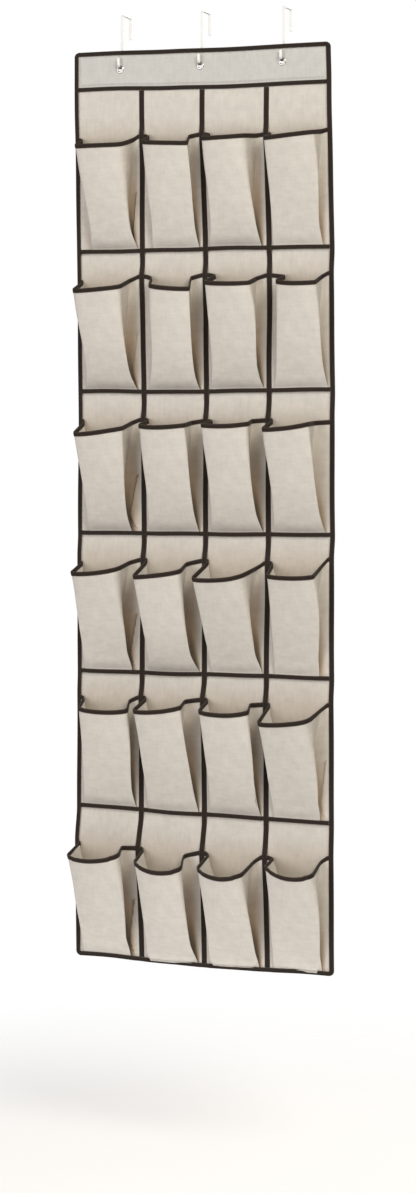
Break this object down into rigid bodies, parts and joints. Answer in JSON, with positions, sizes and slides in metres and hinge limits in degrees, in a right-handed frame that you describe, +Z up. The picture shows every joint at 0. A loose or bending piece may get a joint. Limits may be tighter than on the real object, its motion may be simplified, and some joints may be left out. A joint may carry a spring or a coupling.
{
  "type": "over-the-door shoe organizer",
  "caption": "Hanging shoe organizer: a bound cloth panel with rows of open pleated pockets, hung by header eyelets on flat metal hooks that go over a door.",
  "frame": {"origin": "underside of the centre hook's bridge, at the middle of the door's thickness", "axes": "+Z up, +X to the right seen from the front, the front faces -Y"},
  "size_m": [0.482, 0.1246, 1.677],
  "materials": {
    "canvas": "plain-woven ecru canvas",
    "header_canvas": "plain-woven pale grey canvas",
    "tape": "dark brown woven binding tape",
    "board": "raw fibreboard",
    "nickel": "bright nickel plate",
    "white_coat": "gloss white coating"
  },
  "bodies": {
    "door_hooks": {"door_hook_left": "white_coat", "door_hook_centre": "white_coat", "door_hook_right": "white_coat"},
    "organizer": {"back_panel": "canvas", "header_band": "header_canvas", "header_stiffener": "board", "edge_binding": "tape", "pocket_r1_c1": "canvas", "pocket_r1_c2": "canvas", "pocket_r1_c3": "canvas", "pocket_r1_c4": "canvas", "pocket_r2_c1": "canvas", "pocket_r2_c2": "canvas", "pocket_r2_c3": "canvas", "pocket_r2_c4": "canvas", "pocket_r3_c1": "canvas", "pocket_r3_c2": "canvas", "pocket_r3_c3": "canvas", "pocket_r3_c4": "canvas", "pocket_r4_c1": "canvas", "pocket_r4_c2": "canvas", "pocket_r4_c3": "canvas", "pocket_r4_c4": "canvas", "pocket_r5_c1": "canvas", "pocket_r5_c2": "canvas", "pocket_r5_c3": "canvas", "pocket_r5_c4": "canvas", "pocket_r6_c1": "canvas", "pocket_r6_c2": "canvas", "pocket_r6_c3": "canvas", "pocket_r6_c4": "canvas", "mouth_binding_r1": "tape", "mouth_binding_r2": "tape", "mouth_binding_r3": "tape", "mouth_binding_r4": "tape", "mouth_binding_r5": "tape", "mouth_binding_r6": "tape", "header_tape": "tape", "row_tape_r1": "tape", "row_tape_r2": "tape", "row_tape_r3": "tape", "row_tape_r4": "tape", "row_tape_r5": "tape", "column_tape_left": "tape", "column_tape_centre": "tape", "column_tape_right": "tape", "eyelet_left": "nickel", "eyelet_centre": "nickel", "eyelet_right": "nickel", "eyelet_washer_left": "nickel", "eyelet_washer_centre": "nickel", "eyelet_washer_right": "nickel"}
  },
  "joints": [
    {"name": "organizer_swing", "type": "hinge", "parent": "door_hooks", "child": "organizer", "pos_m": [0, -0.02775, -0.0865], "axis": [-1, 0, 0], "range_deg": [0, 14]}
  ]
}
